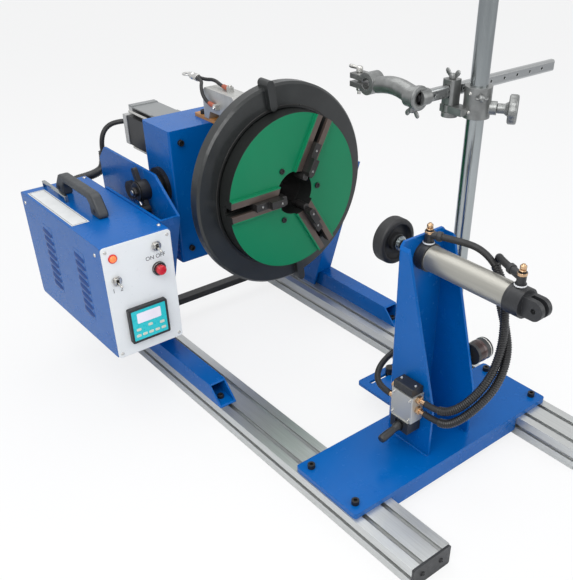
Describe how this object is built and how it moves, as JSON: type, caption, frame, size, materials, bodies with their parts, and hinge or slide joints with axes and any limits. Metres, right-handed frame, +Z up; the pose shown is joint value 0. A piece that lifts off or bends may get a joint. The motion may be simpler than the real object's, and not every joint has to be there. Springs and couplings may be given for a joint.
{
  "type": "welding positioner",
  "caption": "Bench welding positioner: tilting headstock with a scroll chuck, control box, air tailstock and torch stand on two slotted rails",
  "frame": {"origin": "on the standing plane, under the spindle axis, halfway along the rails", "axes": "+X along the rails from the headstock to the tailstock, +Y across them, away from the control box, +Z up"},
  "size_m": [1.008, 0.813, 0.76],
  "materials": {
    "aluminium": "satin anodised",
    "black_plastic": "matt",
    "blue_paint": "gloss paint",
    "blackened_steel": "black oxide",
    "motor_metal": "satin",
    "dark_steel": "dark oiled",
    "green_paint": "gloss paint",
    "black_paint": "satin paint",
    "orange_bakelite": "satin",
    "cast_grey": "cast",
    "red_insulation": "satin",
    "black_rubber": "satin",
    "white_panel": "satin",
    "chrome": "polished",
    "orange_lens": "clear lens",
    "nickel": "plated",
    "red_plastic": "gloss",
    "brass": "satin"
  },
  "bodies": {
    "base": {"rails": "aluminium", "rail_end_caps": "black_plastic", "base_beams": "blue_paint", "support_near": "blue_paint", "support_far": "blue_paint", "tie_bar": "blackened_steel", "control_box": "blue_paint", "control_panel": "white_panel", "carry_handle": "black_plastic", "lid_strap": "chrome", "pilot_lamp": "orange_lens", "panel_fittings": "nickel", "display_unit": "black_plastic", "conduit_elbow": "black_rubber"},
    "head": {"head_housing": "blue_paint", "tilt_pins": "blackened_steel", "motor": "motor_metal", "brush_plate": "orange_bakelite", "brush_holder": "cast_grey", "ground_leads": "red_insulation", "motor_cable": "black_rubber"},
    "tilt_lever": {"tilt_lock_lever": "blackened_steel"},
    "spindle": {"spindle": "dark_steel", "chuck_body": "green_paint"},
    "scroll": {"scroll_ring": "black_paint"},
    "jaw_1": {"jaw_1": "dark_steel"},
    "jaw_2": {"jaw_2": "dark_steel"},
    "jaw_3": {"jaw_3": "dark_steel"},
    "stop_button": {"stop_button": "red_plastic"},
    "power_lever": {"power_switch_lever": "nickel"},
    "mode_lever": {"mode_switch_lever": "nickel"},
    "tail": {"tail_plate": "blue_paint", "tail_keel": "blue_paint", "tail_tower": "blue_paint", "tail_screws": "blackened_steel", "cylinder_caps": "black_plastic", "cylinder_barrel": "aluminium", "port_elbows": "black_plastic", "hand_valve": "cast_grey", "valve_fittings": "brass", "air_filter": "black_plastic", "hose_front": "black_rubber", "hose_rear": "black_rubber", "hose_supply": "black_rubber"},
    "rod": {"piston_rod": "chrome"},
    "pad": {"pressing_pad": "black_rubber"},
    "needle_front": {"needle_front": "brass"},
    "needle_rear": {"needle_rear": "brass"},
    "valve_lever": {"valve_lever": "black_plastic"},
    "stand": {"stand_plate": "blue_paint", "torch_column": "chrome"},
    "slot_knob": {"slot_knob": "blackened_steel"},
    "sleeve": {"height_sleeve": "nickel"},
    "height_knob": {"height_knob": "nickel"},
    "bracket": {"bar_bracket": "nickel"},
    "bracket_screw": {"bracket_wing_screw": "nickel"},
    "bar": {"cross_bar": "chrome"},
    "holder": {"torch_holder": "nickel"},
    "clamp_bolt": {"torch_clamp_bolt": "nickel"},
    "socket_screw": {"socket_wing_screw": "nickel"}
  },
  "joints": [
    {"name": "head_tilt", "type": "hinge", "parent": "base", "child": "head", "pos_m": [-0.262, 0, 0.376], "axis": [0, -1, 0], "range_deg": [0, 90], "deforming": ["motor_cable"]},
    {"name": "tilt_lock_turn", "type": "hinge", "parent": "head", "child": "tilt_lever", "pos_m": [-0.262, 0, 0.376], "axis": [0, 1, 0], "range_deg": [-20, 20]},
    {"name": "spindle_spin", "type": "hinge", "parent": "head", "child": "spindle", "pos_m": [-0.262, 0, 0.376], "axis": [1, 0, 0], "continuous": true},
    {"name": "scroll_turn", "type": "hinge", "parent": "spindle", "child": "scroll", "pos_m": [-0.262, 0, 0.376], "axis": [1, 0, 0], "range_deg": [-1028.5, 308.5]},
    {"name": "jaw_1_slide", "type": "slide", "parent": "spindle", "child": "jaw_1", "axis": [0, 0.4848, 0.8746], "range_m": [-0.01201, 0.04001]},
    {"name": "jaw_2_slide", "type": "slide", "parent": "spindle", "child": "jaw_2", "axis": [0, -0.9998, -0.0175], "range_m": [-0.01201, 0.04001]},
    {"name": "jaw_3_slide", "type": "slide", "parent": "spindle", "child": "jaw_3", "axis": [0, 0.515, -0.8572], "range_m": [-0.01201, 0.04001]},
    {"name": "stop_press", "type": "slide", "parent": "base", "child": "stop_button", "axis": [-1, 0, 0], "range_m": [0, 0.003], "stiffness_N_per_m": 300},
    {"name": "power_toggle", "type": "hinge", "parent": "base", "child": "power_lever", "pos_m": [-0.125, -0.267, 0.333], "axis": [0, 1, 0], "range_deg": [-26, 0]},
    {"name": "mode_toggle", "type": "hinge", "parent": "base", "child": "mode_lever", "pos_m": [-0.125, -0.348, 0.292], "axis": [0, 1, 0], "range_deg": [-26, 0]},
    {"name": "tail_slide", "type": "slide", "parent": "base", "child": "tail", "axis": [1, 0, 0], "range_m": [-0.01, 0.12]},
    {"name": "rod_slide", "type": "slide", "parent": "tail", "child": "rod", "axis": [-1, 0, 0], "range_m": [0, 0.1]},
    {"name": "pad_spin", "type": "hinge", "parent": "rod", "child": "pad", "pos_m": [0.18, 0, 0.376], "axis": [1, 0, 0], "continuous": true},
    {"name": "needle_front_turn", "type": "hinge", "parent": "tail", "child": "needle_front", "pos_m": [0.261, 0, 0.42], "axis": [0, 0, 1], "range_deg": [-720, 720]},
    {"name": "needle_rear_turn", "type": "hinge", "parent": "tail", "child": "needle_rear", "pos_m": [0.438, 0, 0.42], "axis": [0, 0, 1], "range_deg": [-720, 720]},
    {"name": "valve_lever_swing", "type": "hinge", "parent": "tail", "child": "valve_lever", "pos_m": [0.303, -0.073, 0.108], "axis": [1, 0, 0], "range_deg": [-28, 0]},
    {"name": "stand_slide", "type": "slide", "parent": "base", "child": "stand", "axis": [-1, 0, 0], "range_m": [-0.01, 0.1]},
    {"name": "slot_knob_turn", "type": "hinge", "parent": "stand", "child": "slot_knob", "pos_m": [0.124, 0.074, 0.05], "axis": [0, 0, 1], "continuous": true},
    {"name": "height_slide", "type": "slide", "parent": "stand", "child": "sleeve", "axis": [0, 0, 1], "range_m": [-0.4, 0.16]},
    {"name": "height_knob_turn", "type": "hinge", "parent": "sleeve", "child": "height_knob", "pos_m": [0.16, 0.2025, 0.546], "axis": [0.8192, 0.5736, 0], "continuous": true},
    {"name": "bracket_swivel", "type": "hinge", "parent": "sleeve", "child": "bracket", "pos_m": [0.125, 0.176, 0.54], "axis": [0, 0, 1], "range_deg": [-8, 60]},
    {"name": "bracket_screw_turn", "type": "hinge", "parent": "bracket", "child": "bracket_screw", "pos_m": [0.125, 0.176, 0.588], "axis": [0, 0, 1], "continuous": true},
    {"name": "bar_slide", "type": "slide", "parent": "bracket", "child": "bar", "axis": [0, 1, 0], "range_m": [-0.24, 0.03]},
    {"name": "holder_turn", "type": "hinge", "parent": "bar", "child": "holder", "pos_m": [0.125, 0.11, 0.57], "axis": [0, -1, 0], "range_deg": [-60, 60]},
    {"name": "clamp_bolt_turn", "type": "hinge", "parent": "holder", "child": "clamp_bolt", "pos_m": [-0.016, 0.099, 0.58], "axis": [0, 0, 1], "range_deg": [-75, 75]},
    {"name": "socket_screw_turn", "type": "hinge", "parent": "holder", "child": "socket_screw", "pos_m": [0.113, 0.099, 0.55], "axis": [0, 0, 1], "continuous": true}
  ],
  "couplings": [
    {"joint": "jaw_1_slide", "follows": "scroll_turn", "m_per_rad": -0.0022282},
    {"joint": "jaw_2_slide", "follows": "scroll_turn", "m_per_rad": -0.0022282},
    {"joint": "jaw_3_slide", "follows": "scroll_turn", "m_per_rad": -0.0022282}
  ]
}
